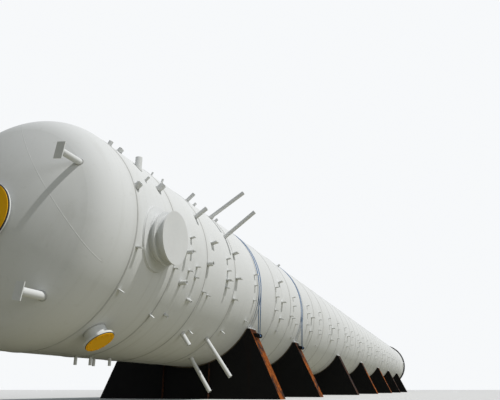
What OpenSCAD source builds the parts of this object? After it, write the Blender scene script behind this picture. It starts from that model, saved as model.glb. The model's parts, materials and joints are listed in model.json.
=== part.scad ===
// Distillation column lying on its transport saddles, a 1:10 scale model.
// All sizes are the model's own millimetres: 680 mm here is 6.8 m on the real column.
// +X runs along the column from the top head to the skirt, +Z is up, and the origin is
// on the deck under the middle of the column. Clock angles are counted from the top of
// the shell, and negative ones lie on the near side (-Y).

/* [Shell] */
// Outside diameter of the shell
shell_od = 680; // [660:4:700]
// Wall of the shell and heads
shell_wall = 6; // [4:0.5:8]
// Length of each of the two short courses next to the top head
short_course = 240; // [230:5:250]
// Length of each ordinary course
long_course = 280; // [276:2:290]
// Straight flange of the heads
head_flange = 40; // [30:2:60]
// Width of the cap of a round weld
weld_w = 6; // [3:1:10]
// Height of the cap of a round weld
weld_h = 0.6; // [0.3:0.1:1.2]

/* [Skirt] */
// Length of the skirt plates from the bottom seam to the base ring
skirt_len = 880; // [700:10:1000]
// Wall of the skirt
skirt_wall = 4; // [3:0.5:6]
// How far the base ring stands out beyond the skirt
base_out = 22; // [20:1:30]
// How far the base plate reaches inside the skirt
base_in = 24; // [12:1:40]
// Thickness of the base plate and of the chair ring
base_t = 6; // [4:0.5:10]
// Clear height of the bolt chairs
chair_h = 34; // [24:2:50]
// Thickness of a chair gusset
gusset_t = 3; // [2:0.5:4]
// Clear width between the two gussets of a chair
gusset_gap = 14; // [12:1:20]
// Distance of an anchor bolt hole's middle from the skirt
bolt_out = 12; // [11:0.5:13]
// Diameter of an anchor bolt hole
bolt_hole = 8; // [6:0.5:9]
// Number of anchor bolts
bolt_count = 24; // [12:12:36]
// Outside diameter of the sleeves of the two access openings in the skirt
access_d = 90; // [60:5:110]
// Distance from the base plate to the middle of an access opening
access_x = 150; // [120:5:200]
// Length of the sleeve in an access opening
sleeve_len = 24; // [20:1:30]
// Wall of the sleeve
sleeve_wall = 4; // [3:0.5:6]

/* [Head nozzles] */
// Outside diameter of the overhead nozzle's neck
overhead_neck_d = 162; // [150:2:166]
// Wall of the overhead nozzle
overhead_wall = 8; // [4:0.5:10]
// Outside diameter of the overhead flange
overhead_flange_d = 176; // [172:2:188]
// How far the overhead flange face stands beyond the head
overhead_reach = 4; // [4:0.5:12]
// Thickness of the overhead flange
overhead_flange_t = 6; // [4:0.5:7]
// Outside diameter of the upper pipes that stand on the head
upper_leg_d = 18; // [14:1:22]
// Outside diameter of the lower pipes that stand on the head
lower_leg_d = 22; // [16:1:24]
// Distance of the middle of these pipes from the outside of the shell
leg_in = 66; // [60:1:80]
// How far the end plates of these pipes reach beyond the head
leg_reach = 17; // [12:1:40]
// Height of an end plate
leg_plate_h = 46; // [40:1:54]
// Width of an end plate
leg_plate_w = 26; // [24:1:34]
// Thickness of an end plate
leg_plate_t = 3; // [2:0.5:5]
// Wall of the pipes on the head, the stubs and the long pipes
pipe_wall = 2; // [1:0.5:3]
// Thickness of the shipping covers
cover_t = 3; // [2:0.5:5]
// Gap between a cover's rim and the flange's rim
cover_rim = 3; // [1:0.5:5]

/* [Trunnions] */
// Distance of the trunnions from the first seam
trunnion_x = 132; // [115:1:150]
// Clock angle of the near trunnion, with the other one straight across the shell
trunnion_clock = 92; // [88:1:93]
// Outside diameter of the trunnion pipe
trunnion_pipe_d = 136; // [126:2:142]
// Wall of the trunnion pipe
trunnion_pipe_wall = 8; // [5:0.5:12]
// Diameter of the reinforcing pad
trunnion_pad_d = 196; // [180:2:204]
// Thickness of the reinforcing pad
trunnion_pad_t = 5; // [4:0.5:8]
// Diameter of the inner ring and the keeper plate
trunnion_plate_d = 160; // [156:2:172]
// Height of the middle of the inner ring above the shell
trunnion_ring_at = 23; // [20:1:28]
// Height of the outer face of the keeper plate above the shell
trunnion_reach = 53; // [48:1:66]
// Thickness of the inner ring and the keeper plate
trunnion_plate_t = 5; // [4:0.5:8]

/* [Side nozzle] */
// Distance of the side nozzle from the first seam
side_nozzle_x = 60; // [54:1:66]
// Clock angle of the side nozzle
side_nozzle_clock = -146; // [-150:1:-142]
// Diameter of the side nozzle's flange
side_flange_d = 88; // [80:2:96]
// Outside diameter of the side nozzle's neck
side_neck_d = 62; // [50:1:66]
// Wall of the side nozzle's neck
side_neck_wall = 4; // [3:0.5:6]
// How far the flange face stands above the shell
side_nozzle_reach = 36; // [30:1:50]
// Thickness of the side nozzle's flange
side_flange_t = 6; // [4:0.5:8]

/* [Pipes and clips] */
// Outside diameter of the long plain pipes
pipe_d = 16; // [12:1:20]
// Length of a clip along the column
clip_l = 12; // [8:1:16]
// Thickness of a clip
clip_t = 3; // [2:0.5:5]
// Height of a clip above the shell
clip_h = 18; // [12:1:24]
// Distance between rows of clips
clip_pitch = 329; // [322:1:336]
// Distance of the first row of clips from the first seam
clip_start = 340; // [330:5:345]
// Number of rows of clips
clip_rows = 24; // [20:1:25]
// Length of a bracket along the column
bracket_l = 25; // [18:1:30]
// Thickness of a bracket
bracket_t = 4; // [3:0.5:6]
// Height of a bracket above the shell
bracket_h = 24; // [16:1:28]
// Distance of a row of brackets from the row of clips before it
bracket_after = 95; // [60:5:150]

/* [Saddles] */
// Height of the underside of the shell above the deck
clearance = 136; // [110:2:160]
// Length of a saddle along the column
saddle_l = 80; // [70:2:100]
// Width of a saddle at the deck
saddle_foot_w = 880; // [876:2:920]
// Clock angle at which the cradle ends
horn_clock = 122; // [119:1:124]
// Width of the flat end of a horn
horn_w = 12; // [8:1:20]
// Thickness of the saddle plates
saddle_t = 4; // [3:0.5:6]
// Distance of the web stiffeners from the middle of the saddle
stiffener_y = 112; // [90:2:140]
// How far the web stiffeners stand out
stiffener_h = 10; // [6:1:16]
// Thickness of the packing between cradle and shell
packing_t = 5; // [3:0.5:8]

/* [Lashing] */
// Width of a lashing strap
strap_w = 10; // [6:1:14]
// Thickness of a lashing strap
strap_t = 1.5; // [1:0.5:3]
// Distance between the middles of the two straps of a pair
strap_gap = 24; // [18:1:30]
// Clock angle at which a strap leaves the shell
strap_clock = 92; // [91:0.5:93]
// Diameter of a lashing pin
lash_pin_d = 6; // [4:0.5:8]
// Radius of the ears that hold a lashing pin
ear_r = 9; // [7:0.5:12]

/* [Hidden] */
$fn = 96;

SHELLS = 8;
SADDLES = 7;

shell_r = shell_od / 2;
axis_z = shell_r + clearance;
// How far a cut runs past the face that it opens
past = 1;

// Two-to-one heads, as the crown and knuckle arcs they are pressed to
crown_r = 0.9 * shell_od;
knuckle_r = 0.17 * shell_od;
knuckle_x = shell_r - knuckle_r;
crown_depth = crown_r - sqrt(pow(crown_r - knuckle_r, 2) - pow(knuckle_x, 2));
head_len = head_flange + crown_depth;

// The first section has both short courses and one ordinary course, the others four each
COURSES = 4;
first_section = 2 * short_course + long_course;
shell_len = first_section + (SHELLS - 1) * COURSES * long_course;
skirt_start = shell_len + head_flange;
base_x = skirt_start + skirt_len;
front_len = head_len + max(leg_reach, overhead_reach + cover_t);
seam_x = front_len - (front_len + base_x + base_t) / 2;

// Bottom outlet: diameter and reach beyond the bottom head
bottom_nozzle_d = 60;
bottom_nozzle_reach = 40;

// Distance of each saddle's face from the first seam
SADDLE_X = [1035, 1805, 3125, 4360, 5760, 7000, 8360];
// How many saddles, from the first, carry lashing straps, and the bends that a strap takes
LASHED = 2;
STRAP_BENDS = 46;
cradle_r = shell_r + packing_t;
foot_y = saddle_foot_w / 2;
horn_z = axis_z + cradle_r * cos(horn_clock);
horn_y = cradle_r * sin(horn_clock) + horn_w;
side_slope = (foot_y - horn_y) / horn_z;
side_inset = saddle_t * sqrt(1 + side_slope * side_slope);
strap_leg = shell_r * tan(horn_clock - strap_clock);
// How far the root of an ear is drawn in before the saddle's outline cuts it
ear_root = shell_r / 10;

// Pipes that stand on the head: clock angle and diameter
HEAD_LEGS = [
    [-59, upper_leg_d],
    [38, upper_leg_d],
    [121, lower_leg_d],
    [-142, lower_leg_d]];
// How far the end plates of these pipes lean
LEG_LEAN = 8;

// Long pipes: distance from the first seam, clock angle, direction, diameter, length
LONG_PIPES = [
    [728, -63, -54, pipe_d, 162],
    [714, -45, -58, pipe_d, 177],
    [728, -137, -144, pipe_d, 177],
    [520, -137, -145, pipe_d, 52],
    [816, -158, -146, pipe_d, 156]];

// Stubs: distance from the first seam, clock angle, direction, diameter, length
STUBS = [
    [14, -70, -50, 20, 16],
    [30, -36, -30, 14, 14],
    [70, -38, -50, 18, 14],
    [100, -60, -49, 8, 17],
    [120, -48, 0, 22, 35],
    [181, -60, -52, 22, 24],
    [275, -38, -30, 6, 12],
    [350, -38, -20, 8, 14],
    [444, -63, -56, 16, 54],
    [520, -42, -50, 14, 40],
    [600, -40, -50, 10, 14],
    [760, -42, -54, 10, 12],
    [800, -42, -54, 12, 14],
    [960, -44, -54, 14, 12],
    [1700, -45, -54, 12, 16],
    [304, -92, -90, 15, 28],
    [310, -109, -90, 16, 25],
    [487, -92, -90, 18, 22],
    [398, -116, -120, 10, 20],
    [315, -128, -120, 10, 16],
    [210, -176, -180, 10, 26],
    [270, -174, -180, 10, 26],
    [305, -176, -180, 10, 26],
    [360, -172, -180, 10, 26]];

// Clock angles of the clips and brackets in each row
CLIP_CLOCKS = [-82, -90, -101];
BRACKET_CLOCKS = [-92, -106];
// Clips and brackets out of the rows: distance from the first seam, clock angle
SINGLE_CLIPS = [
    [10, -101], [10, -122], [231, -130], [240, -103], [393, -97], [397, -103], [408, -116], [486, -109],
    [527, -110], [544, -134], [799, -129], [969, -117], [1428, -117], [1608, -100], [1734, -105],
    [1734, -118], [2346, -105], [2346, -118]];
SINGLE_BRACKETS = [[525, -77], [665, -96], [750, -75], [1404, -75]];

// Puts a piece at a distance along the column, with its z axis along the column
module on_axis(x)
    translate([seam_x + x, 0, axis_z])
        rotate([0, 90, 0])
            children();

// Puts a piece on the shell, with z pointing out of the shell and x along the column
module on_shell(x, clock, r = shell_r)
    translate([seam_x + x, 0, axis_z])
        rotate([-clock, 0, 0])
            translate([0, 0, r])
                children();

module tube(d, wall, h)
    difference() {
        cylinder(d = d, h = h);
        translate([0, 0, -past])
            cylinder(d = d - 2 * wall, h = h + 2 * past);
    }

// Everything inside the outer face of the straight shell
module shell_space(d = shell_od)
    on_axis(0)
        cylinder(d = d, h = shell_len);

// Half outline of a dished head that closes upwards, its outside moved in by a wall
module head_outline(inset = 0) {
    crown_y = head_len - crown_r;
    lean = knuckle_x / (head_flange - crown_y);
    top = head_len + past;
    intersection() {
        translate([0, crown_y])
            circle(r = crown_r - inset);
        polygon([[0, 0], [-crown_y * lean, 0], [(top - crown_y) * lean, top], [0, top]]);
    }
    translate([knuckle_x, head_flange])
        intersection() {
            circle(r = knuckle_r - inset);
            square(knuckle_r);
        }
    square([shell_r - inset, head_flange]);
}

module head_shell()
    rotate_extrude()
        difference() {
            head_outline();
            head_outline(shell_wall);
        }

module top_head()
    color("gainsboro")
        difference() {
            translate([seam_x, 0, axis_z])
                rotate([0, -90, 0])
                    head_shell();
            on_axis(-head_len - past)
                cylinder(d = overhead_neck_d, h = crown_depth);
        }

module overhead_nozzle()
    color("gainsboro") {
        on_axis(-head_len - overhead_reach)
            tube(overhead_flange_d, overhead_wall + (overhead_flange_d - overhead_neck_d) / 2,
                overhead_flange_t);
        on_axis(-head_len - overhead_reach)
            tube(overhead_neck_d, overhead_wall, overhead_reach + shell_wall + overhead_neck_d / 8);
    }

module overhead_cover()
    color("orange")
        on_axis(-head_len - overhead_reach - cover_t)
            cylinder(d = overhead_flange_d - 2 * cover_rim, h = cover_t);

// Pipes along the column that stand on the head, with a plate on the end of each
module head_nozzles()
    color("gainsboro")
        difference() {
            for (leg = HEAD_LEGS)
                translate([seam_x - head_len - leg_reach,
                    (shell_r - leg_in) * sin(leg[0]),
                    axis_z + (shell_r - leg_in) * cos(leg[0])])
                    rotate([LEG_LEAN, 0, 0]) {
                        translate([0, -leg_plate_w / 2, -leg_plate_h / 2])
                            cube([leg_plate_t, leg_plate_w, leg_plate_h]);
                        translate([leg_plate_t, 0, 0])
                            rotate([0, 90, 0])
                                tube(leg[1], pipe_wall, head_len - head_flange);
                    }
            translate([seam_x, 0, axis_z])
                rotate([0, -90, 0])
                    rotate_extrude()
                        head_outline();
        }

// Cap of a round weld
module weld_cap() {
    cap_r = (pow(weld_w / 2, 2) + pow(weld_h, 2)) / (2 * weld_h);
    rotate_extrude()
        intersection() {
            translate([shell_r + weld_h - cap_r, 0])
                circle(r = cap_r);
            translate([shell_r - past, -weld_w])
                square([past + weld_h, 2 * weld_w]);
        }
}

module shell_section(number) {
    first = number == 1;
    start = first ? 0 : first_section + (number - 2) * COURSES * long_course;
    seams = first
        ? [0, short_course, 2 * short_course]
        : [for (i = [0:COURSES - 1]) i * long_course];
    length = first ? first_section : COURSES * long_course;
    color("whitesmoke")
        on_axis(start)
            difference() {
                union() {
                    cylinder(r = shell_r, h = length);
                    for (seam = seams)
                        translate([0, 0, seam])
                            weld_cap();
                }
                translate([0, 0, -past])
                    cylinder(r = shell_r - shell_wall, h = length + 2 * past);
                translate([0, 0, -weld_w])
                    cylinder(r = shell_r, h = weld_w);
            }
}

// Both trunnions, with z pointing out of the shell
module at_trunnions()
    for (clock = [-trunnion_clock, 180 - trunnion_clock])
        on_shell(trunnion_x, clock)
            children();

module trunnion_pads()
    color("gainsboro")
        intersection() {
            at_trunnions()
                translate([0, 0, -shell_r / 4])
                    difference() {
                        cylinder(d = trunnion_pad_d, h = shell_r / 2);
                        translate([0, 0, -past])
                            cylinder(d = trunnion_pipe_d, h = shell_r);
                    }
            difference() {
                shell_space(shell_od + 2 * trunnion_pad_t);
                on_axis(-past)
                    cylinder(d = shell_od, h = shell_len + 2 * past);
            }
        }

module trunnion_pipes()
    color("gainsboro")
        difference() {
            at_trunnions()
                translate([0, 0, -shell_r / 8])
                    tube(trunnion_pipe_d, trunnion_pipe_wall, shell_r / 8 + trunnion_reach - trunnion_plate_t);
            shell_space();
        }

module trunnion_rings()
    color("gainsboro")
        at_trunnions()
            translate([0, 0, trunnion_ring_at - trunnion_plate_t / 2])
                tube(trunnion_plate_d, (trunnion_plate_d - trunnion_pipe_d) / 2, trunnion_plate_t);

module keeper_plates()
    color("gainsboro")
        at_trunnions()
            translate([0, 0, trunnion_reach - trunnion_plate_t])
                cylinder(d = trunnion_plate_d, h = trunnion_plate_t);

module side_nozzle()
    color("gainsboro")
        difference() {
            on_shell(side_nozzle_x, side_nozzle_clock) {
                translate([0, 0, -side_neck_d / 4])
                    tube(side_neck_d, side_neck_wall, side_neck_d / 4 + side_nozzle_reach);
                translate([0, 0, side_nozzle_reach - side_flange_t])
                    tube(side_flange_d, side_neck_wall + (side_flange_d - side_neck_d) / 2, side_flange_t);
            }
            shell_space();
        }

module side_nozzle_cover()
    color("orange")
        on_shell(side_nozzle_x, side_nozzle_clock, shell_r + side_nozzle_reach)
            cylinder(d = side_flange_d - 2 * cover_rim, h = cover_t);

// Pipes that stand on the shell, each in its own direction and not always square to it
module shell_pipes(pipes)
    color("gainsboro")
        difference() {
            for (p = pipes)
                on_shell(p[0], p[1])
                    rotate([p[1] - p[2], 0, 0])
                        translate([0, 0, -2 * p[3]])
                            tube(p[3], pipe_wall, p[4] + 2 * p[3]);
            shell_space();
        }

// A plate that stands on the shell with its long side along the column
module shell_plate(x, clock, l, t, h)
    on_shell(x, clock)
        translate([0, -t / 2, -t])
            cube([l, t, h + t]);

module clips()
    color("gainsboro")
        difference() {
            union() {
                for (row = [0:clip_rows - 1])
                    for (side = [-1, 1]) {
                        for (clock = CLIP_CLOCKS)
                            shell_plate(clip_start + row * clip_pitch, side * clock, clip_l, clip_t, clip_h);
                        if (row % 2 == 1)
                            for (clock = BRACKET_CLOCKS)
                                shell_plate(clip_start + row * clip_pitch + bracket_after, side * clock,
                                    bracket_l, bracket_t, bracket_h);
                    }
                for (c = SINGLE_CLIPS)
                    shell_plate(c[0], c[1], clip_l, clip_t, clip_h);
                for (b = SINGLE_BRACKETS)
                    shell_plate(b[0], b[1], bracket_l, bracket_t, bracket_h);
            }
            shell_space();
        }

module bottom_head()
    color("whitesmoke")
        difference() {
            on_axis(shell_len)
                head_shell();
            on_axis(shell_len + head_flange)
                cylinder(d = bottom_nozzle_d, h = head_len);
        }

module bottom_nozzle()
    color("gainsboro")
        on_axis(shell_len + head_len - shell_wall - past)
            tube(bottom_nozzle_d, side_neck_wall, shell_wall + past + bottom_nozzle_reach);

// One of the four rolled plates of the skirt
module skirt_plate(clock, opening = false)
    color("whitesmoke")
        difference() {
            on_axis(shell_len)
                rotate([0, 0, 135 - clock])
                    rotate_extrude(angle = 90)
                        difference() {
                            translate([shell_r - skirt_wall, head_flange])
                                square([skirt_wall, skirt_len]);
                            head_outline();
                        }
            if (opening)
                on_shell(base_x - access_x, clock, shell_r - sleeve_len)
                    cylinder(d = access_d, h = 2 * sleeve_len);
        }

module access_sleeves()
    color("gainsboro")
        for (clock = [-90, 90])
            on_shell(base_x - access_x, clock, shell_r - sleeve_len / 2)
                tube(access_d, sleeve_wall, sleeve_len);

module bolt_holes(h)
    for (i = [0:bolt_count - 1])
        rotate([0, 0, 360 * (i + 0.5) / bolt_count])
            translate([shell_r + bolt_out, 0, -past])
                cylinder(d = bolt_hole, h = h + 2 * past);

module base_plate()
    color("dimgray")
        on_axis(base_x)
            difference() {
                tube(shell_od + 2 * base_out, base_out + base_in, base_t);
                bolt_holes(base_t);
            }

module bolt_chairs()
    color("dimgray")
        on_axis(base_x - chair_h - base_t) {
            difference() {
                tube(shell_od + 2 * base_out, base_out, base_t);
                bolt_holes(base_t);
            }
            difference() {
                for (i = [0:bolt_count - 1])
                    for (side = [-1, 1])
                        rotate([0, 0, 360 * (i + 0.5) / bolt_count])
                            translate([shell_r - past, side * (gusset_gap + gusset_t) / 2 - gusset_t / 2, 0])
                                cube([base_out, gusset_t, chair_h + base_t]);
                cylinder(r = shell_r, h = chair_h + 2 * base_t);
            }
        }

// A saddle's outline across the column
module saddle_outline()
    difference() {
        polygon([[-foot_y, 0], [foot_y, 0], [horn_y, horn_z], [-horn_y, horn_z]]);
        translate([0, axis_z])
            circle(r = cradle_r);
    }

// The space between the webs, the foot plate, the side plates and the cradle plate
module saddle_inside() {
    low = foot_y - side_inset - side_slope * saddle_t;
    high = horn_y - side_inset + side_slope * saddle_t;
    difference() {
        polygon([[-low, saddle_t], [low, saddle_t], [high, horn_z - saddle_t], [-high, horn_z - saddle_t]]);
        translate([0, axis_z])
            circle(r = cradle_r + saddle_t);
    }
}

// Stands a plate that is drawn across the column upright at a distance along it
module across(x)
    translate([seam_x + x, 0, 0])
        rotate([90, 0, 90])
            children();

module saddle(number)
    color("dimgray")
        across(SADDLE_X[number - 1]) {
            difference() {
                linear_extrude(saddle_l)
                    saddle_outline();
                translate([0, 0, saddle_t])
                    linear_extrude(saddle_l - 2 * saddle_t)
                        saddle_inside();
            }
            translate([0, 0, -stiffener_h])
                linear_extrude(saddle_l + 2 * stiffener_h)
                    intersection() {
                        saddle_outline();
                        for (side = [-1, 1])
                            translate([side * stiffener_y - saddle_t / 2, 0])
                                square([saddle_t, horn_z]);
                    }
        }

module packing_strips()
    color("burlywood")
        for (x = SADDLE_X)
            across(x)
                linear_extrude(saddle_l)
                    intersection() {
                        difference() {
                            translate([0, axis_z])
                                circle(r = cradle_r);
                            translate([0, axis_z])
                                circle(r = shell_r);
                        }
                        polygon([[-foot_y, 0], [foot_y, 0], [horn_y, horn_z], [-horn_y, horn_z]]);
                    }

// The straps of all pairs, as plates across the column
module at_straps()
    for (i = [0:LASHED - 1])
        for (side = [-1, 1])
            across(SADDLE_X[i] + saddle_l / 2 + side * strap_gap / 2 - strap_w / 2)
                children();

// A point across the column at a clock angle, and one further along the tangent there
function clock_point(r, clock, along = 0) = [
    r * sin(clock) + along * cos(clock),
    r * cos(clock) - along * sin(clock)];

// A strap lies flat on the shell between short bends and leaves it straight at both ends
module strap_outline() {
    bend = 2 * strap_clock / STRAP_BENDS;
    inner_r = shell_r / cos(bend / 2);
    clocks = [for (i = [0:STRAP_BENDS]) i * bend - strap_clock];
    translate([0, axis_z])
        polygon(concat(
            [clock_point(inner_r + strap_t, -strap_clock, -strap_leg)],
            [for (clock = clocks) clock_point(inner_r + strap_t, clock)],
            [clock_point(inner_r + strap_t, strap_clock, strap_leg)],
            [clock_point(inner_r, strap_clock, strap_leg)],
            [for (clock = clocks) clock_point(inner_r, -clock)],
            [clock_point(inner_r, -strap_clock, -strap_leg)]));
}

module lashing_straps()
    color("steelblue")
        at_straps()
            linear_extrude(strap_w)
                strap_outline();

// The middle of the lashing pin on one side, across the column
module at_pins()
    translate([0, axis_z])
        for (side = [0, 1])
            mirror([side, 0])
                rotate(-strap_clock)
                    translate([strap_leg + lash_pin_d / 2, shell_r + strap_t / 2])
                        children();

module lashing_ears()
    color("dimgray")
        for (i = [0:LASHED - 1])
            across(SADDLE_X[i] + saddle_l / 2 - strap_gap / 2 - strap_w) {
                linear_extrude(strap_gap + 2 * strap_w)
                    at_pins()
                        circle(d = lash_pin_d);
                for (end = [0, strap_gap + 2 * strap_w - saddle_t])
                    translate([0, 0, end])
                        linear_extrude(saddle_t)
                            difference() {
                                at_pins() {
                                    circle(r = ear_r);
                                    translate([-ear_r, -ear_root])
                                        square([2 * ear_r, ear_root]);
                                }
                                polygon([[-foot_y, 0], [foot_y, 0], [horn_y, horn_z], [-horn_y, horn_z]]);
                                translate([0, axis_z])
                                    circle(r = cradle_r);
                            }
            }

top_head();
overhead_nozzle();
overhead_cover();
head_nozzles();
for (i = [1:SHELLS])
    shell_section(i);
trunnion_pads();
trunnion_pipes();
trunnion_rings();
keeper_plates();
side_nozzle();
side_nozzle_cover();
shell_pipes(LONG_PIPES);  // long_pipes
clips();
shell_pipes(STUBS);  // top_stubs
bottom_head();
bottom_nozzle();
skirt_plate(0);  // skirt_top
skirt_plate(-90, opening = true);  // skirt_near
skirt_plate(180);  // skirt_bottom
skirt_plate(90, opening = true);  // skirt_far
access_sleeves();
base_plate();
bolt_chairs();
for (i = [1:SADDLES])
    saddle(i);
packing_strips();
lashing_straps();
lashing_ears();
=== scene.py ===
import json
import math
import random
from collections import namedtuple

import bmesh
import bpy
import numpy as np
from bpy.props import FloatProperty, FloatVectorProperty, IntProperty, PointerProperty
from mathutils import Matrix, Vector


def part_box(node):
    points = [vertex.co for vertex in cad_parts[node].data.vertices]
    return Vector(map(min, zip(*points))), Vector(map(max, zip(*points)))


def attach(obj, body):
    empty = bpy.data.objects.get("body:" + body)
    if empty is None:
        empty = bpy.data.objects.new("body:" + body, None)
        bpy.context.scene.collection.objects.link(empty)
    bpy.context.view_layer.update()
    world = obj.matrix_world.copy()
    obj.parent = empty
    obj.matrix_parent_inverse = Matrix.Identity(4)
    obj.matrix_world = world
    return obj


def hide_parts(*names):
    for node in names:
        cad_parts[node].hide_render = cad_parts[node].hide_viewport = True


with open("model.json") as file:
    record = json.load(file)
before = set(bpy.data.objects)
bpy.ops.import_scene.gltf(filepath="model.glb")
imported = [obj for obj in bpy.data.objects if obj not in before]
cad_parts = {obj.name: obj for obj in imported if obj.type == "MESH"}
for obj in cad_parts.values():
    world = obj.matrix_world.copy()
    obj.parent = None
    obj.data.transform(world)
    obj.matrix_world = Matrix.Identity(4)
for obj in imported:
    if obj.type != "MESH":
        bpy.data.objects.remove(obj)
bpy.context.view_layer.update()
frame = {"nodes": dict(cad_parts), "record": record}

bl_info = {
    "name": "Distillation Column Dresser",
    "version": (1, 0, 0),
    "blender": (4, 5, 0),
    "location": "View3D > Sidebar > Column",
    "description": "Welds, fasteners, webbing, paint and a studio for a column on its saddles",
    "category": "Object",
}

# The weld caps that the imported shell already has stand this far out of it
WELD_RISE = 0.0006
SHELL_LOW, SHELL_HIGH = (Vector(corner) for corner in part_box("shell_2"))
AXIS_Z = round((SHELL_LOW.z + SHELL_HIGH.z) / 2, 4)
SHELL_R = round((SHELL_HIGH.z - SHELL_LOW.z) / 2 - WELD_RISE, 4)
FIRST_SEAM = round(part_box("top_head")[1][0], 5)
# Radii of the top head's crown and of the knuckle round it, and how far its seams lean
CROWN_R = 1.8 * SHELL_R
KNUCKLE_R = 0.34 * SHELL_R
HEAD_SEAM_LEAN = math.radians(-55)

TO_HEAD = Vector((-1, 0, 0))
TO_SKIRT = Vector((1, 0, 0))

# Sections of a weld cap and a fillet weld, as shares of their size along the surface and over it
CAP_SECTION = ((-0.5, -0.3), (-0.38, 0.55), (0.0, 1.0), (0.38, 0.55), (0.5, -0.3))
FILLET_SECTION = ((-0.1, -0.15), (1.0, -0.08), (0.62, 0.42), (0.30, 0.80), (-0.1, 1.0))
# Section of a strap, as shares of half its width and of its thickness
WEBBING_SECTION = (
    (-1.0, 0.2), (-0.86, 1.0), (-0.6, 0.8), (0.0, 0.75), (0.6, 0.8), (0.86, 1.0), (1.0, 0.2),
    (0.9, 0.0), (-0.9, 0.0))
# Points in a weld all round the shell
ROUND_POINTS = 288
# Clock angles in degrees of the long welds, in every other course and in those between
LONG_WELD_CLOCKS = ((62, 188), (24, 156))

# Each lamp: its name, strength, width in degrees and colour, and the way that its light goes
LAMPS = (
    ("key", 2.4, 1.2, (1.0, 0.985, 0.965), (0.0, 1.6, -2.5)),
    ("fill", 0.48, 25, (0.97, 0.98, 1.0), (0.15, 1.0, -0.3)),
)
# Where the camera stands and how it is turned, as solved from the photo
CAMERA_PLACE = (FIRST_SEAM - 1.2298, -1.1087, 0.0384)
CAMERA_RIGHT = Vector((0.3343, -0.9425, 0.0))
CAMERA_UP = Vector((-0.3169, -0.1124, 0.9418))
CAMERA_AHEAD = Vector((0.8876, 0.3148, 0.3362))


class ColumnSizes(bpy.types.PropertyGroup):
    """Sizes of what is added to the column"""

    weld_width: FloatProperty(
        name="Weld width", description="Width of a round or long weld",
        default=0.0062, unit="LENGTH")
    weld_height: FloatProperty(
        name="Weld height", description="Height of a weld over the plate",
        default=0.0011, unit="LENGTH")
    fillet: FloatProperty(
        name="Fillet", description="Leg of the fillet welds round pads and pipes",
        default=0.0032, unit="LENGTH")
    clip_fillet: FloatProperty(
        name="Clip fillet", description="Leg of the fillet weld round a clip",
        default=0.0014, unit="LENGTH")
    short_course: FloatProperty(
        name="Short course", description="Length of the two courses next to the head",
        default=0.24, unit="LENGTH")
    long_course: FloatProperty(
        name="Ordinary course", description="Length of all other courses",
        default=0.28, unit="LENGTH")
    courses: IntProperty(
        name="Ordinary courses", description="How many ordinary courses the shell has",
        default=29, min=1)
    head_flange: FloatProperty(
        name="Head flange", description="Length of the straight flange of a head",
        default=0.04, unit="LENGTH")
    head_seam: FloatProperty(
        name="Head seam", description="Distance of the two seams of the top head from its middle",
        default=0.1735, unit="LENGTH")
    cover_bolt: FloatProperty(
        name="Cover bolt", description="Diameter of the bolts in the side nozzle's cover",
        default=0.0022, unit="LENGTH")
    side_bolts: IntProperty(
        name="Side bolts", description="Bolts round the side nozzle's cover",
        default=12, min=4)
    bolt_inset: FloatProperty(
        name="Bolt inset", description="How far inside the edge of the side nozzle's cover the bolts stand",
        default=0.0058, unit="LENGTH")
    side_neck: FloatProperty(
        name="Side neck", description="Outside diameter of the side nozzle's neck",
        default=0.062, unit="LENGTH")
    gasket: FloatProperty(
        name="Gasket", description="How far the gasket stands out round the side nozzle's cover",
        default=0.0012, unit="LENGTH")
    stiffener: FloatProperty(
        name="Stiffener", description="Distance of the web stiffeners from the saddle's middle",
        default=0.112, unit="LENGTH")


class ColumnColours(bpy.types.PropertyGroup):
    """Colours of the finishes"""

    paint: FloatVectorProperty(
        name="Paint", description="White coating of the column",
        default=(0.745, 0.757, 0.753), subtype="COLOR")
    # Also the colour of the painted shade at the weld toes, on the underside and between weld ripples
    grime_and_shade: FloatVectorProperty(
        name="Grime", description="Dust and run-off on the coating",
        default=(0.33, 0.32, 0.26), subtype="COLOR")
    cover: FloatVectorProperty(
        name="Covers", description="Yellow shipping covers",
        default=(0.95, 0.49, 0.010), subtype="COLOR")
    black: FloatVectorProperty(
        name="Saddle paint", description="Dull black of the saddles",
        default=(0.010, 0.010, 0.010), subtype="COLOR")
    rust: FloatVectorProperty(
        name="Rust", description="Rust on the saddles' side plates",
        default=(0.35, 0.092, 0.013), subtype="COLOR")
    steel: FloatVectorProperty(
        name="Zinc", description="Zinc coating of bolts and nuts",
        default=(0.42, 0.43, 0.43), subtype="COLOR")
    rubber: FloatVectorProperty(
        name="Rubber", description="Gasket and sleeve at the covers",
        default=(0.030, 0.030, 0.032), subtype="COLOR")
    timber: FloatVectorProperty(
        name="Timber", description="Sawn packing strips",
        default=(0.20, 0.165, 0.12), subtype="COLOR")
    strap: FloatVectorProperty(
        name="Webbing", description="Blue webbing of the straps",
        default=(0.060, 0.17, 0.37), subtype="COLOR")


def colours():
    """The colours that the user has set"""
    return bpy.context.scene.column_colours


def sizes():
    """The sizes that the user has set"""
    return bpy.context.scene.column_sizes


class Value:
    """A number that a finish works out over the surface"""

    def __init__(self, owner, socket):
        self.owner, self.socket = owner, socket

    def math(self, operation, *others):
        """The number after a named operation with the others"""
        return self.owner.node("ShaderNodeMath", {"operation": operation}, dict(enumerate((self,) + others)))

    def __add__(self, other):
        return self.math("ADD", other)

    def __sub__(self, other):
        return self.math("SUBTRACT", other)

    def __mul__(self, other):
        return self.math("MULTIPLY", other)

    def __rsub__(self, other):
        return self.owner.node("ShaderNodeMath", {"operation": "SUBTRACT"}, {0: other, 1: self})

    __radd__, __rmul__ = __add__, __mul__

    def clamp(self):
        """The number kept between 0 and 1"""
        return self.owner.node("ShaderNodeClamp", {}, {"Value": self})

    def band(self, low, high):
        """0 below low, 1 above high and a smooth rise between them"""
        return self.owner.node(
            "ShaderNodeMapRange", {"interpolation_type": "SMOOTHSTEP"},
            {"Value": self, "From Min": low, "From Max": high})


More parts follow.
